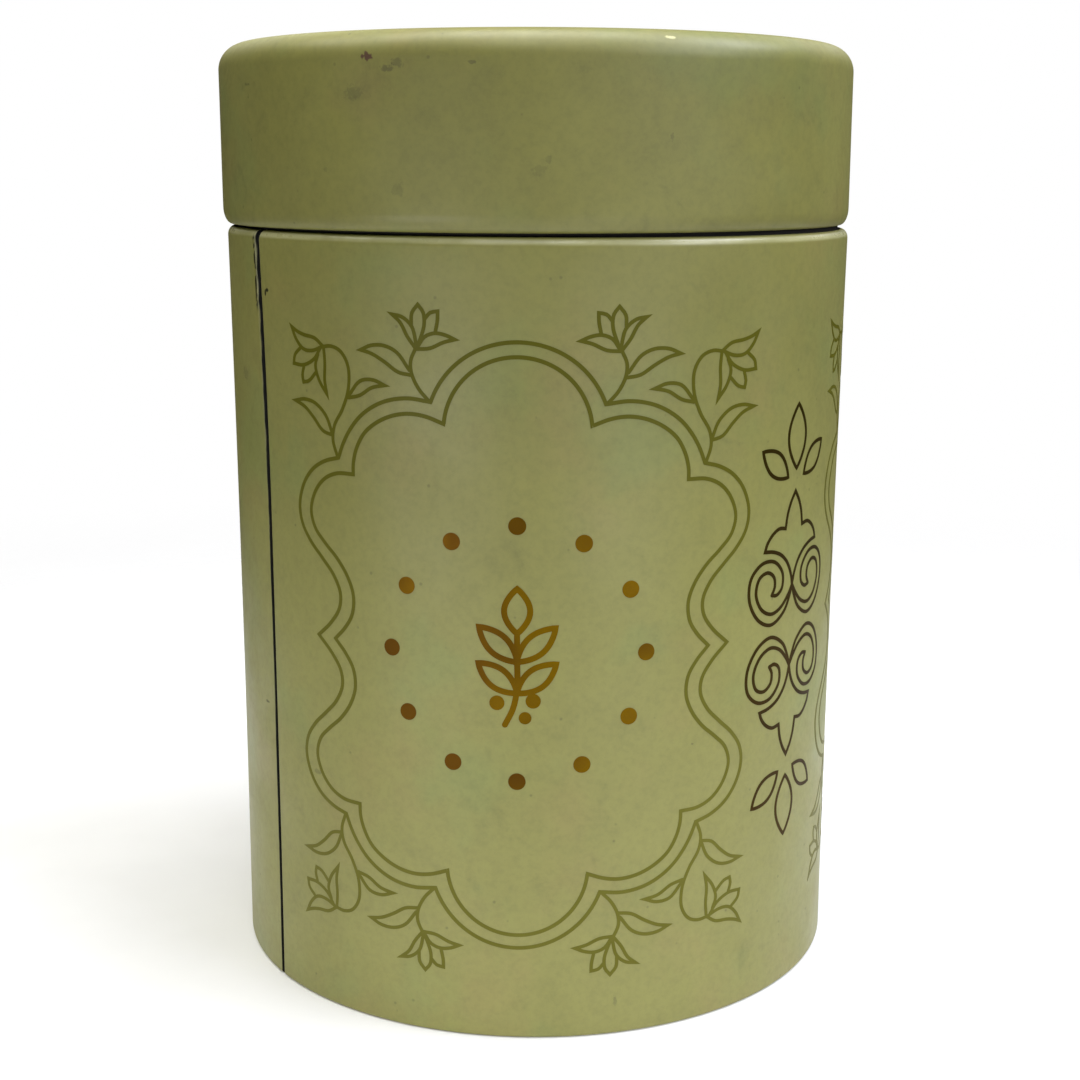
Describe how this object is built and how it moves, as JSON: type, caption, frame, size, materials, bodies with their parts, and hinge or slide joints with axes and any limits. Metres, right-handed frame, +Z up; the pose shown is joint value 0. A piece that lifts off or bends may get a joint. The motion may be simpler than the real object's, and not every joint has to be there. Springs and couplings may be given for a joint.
{
  "type": "coffee tin",
  "caption": "Round tinplate storage tin with a flush slip lid over an inner neck and a press-in inner lid with a knob, for keeping coffee fresh.",
  "frame": {"origin": "centre of the flat ring that the tin stands on", "axes": "+Z up along the tin's axis, the printed front faces -Y, the lock seam is 52.2 degrees to the front's left"},
  "size_m": [0.0856, 0.0856, 0.125],
  "materials": {
    "paint_olive": "satin",
    "tinplate": "satin",
    "seam_compound": "matte",
    "silicone": "matte",
    "knob_wood": "satin",
    "fixing_steel": "polished",
    "ink_olive": "satin",
    "ink_copper": "satin",
    "ink_brown": "satin"
  },
  "bodies": {
    "can": {"body_wall": "paint_olive", "neck_collar": "tinplate", "bottom_panel": "tinplate", "bottom_seal": "seam_compound"},
    "lid": {"lid_shell": "paint_olive"},
    "inner_lid": {"inner_lid_pan": "tinplate", "inner_lid_gasket": "silicone", "inner_lid_knob": "knob_wood", "knob_rivet": "fixing_steel", "knob_washer": "fixing_steel"}
  },
  "joints": [
    {"name": "lid_lift", "type": "slide", "parent": "can", "child": "lid", "axis": [0, 0, 1], "range_m": [0, 0.1]},
    {"name": "inner_lid_lift", "type": "slide", "parent": "can", "child": "inner_lid", "axis": [0, 0, 1], "range_m": [0, 0.05]}
  ],
  "couplings": [
    {"joint": "inner_lid_lift", "follows": "lid_lift", "ratio": 0.5}
  ]
}
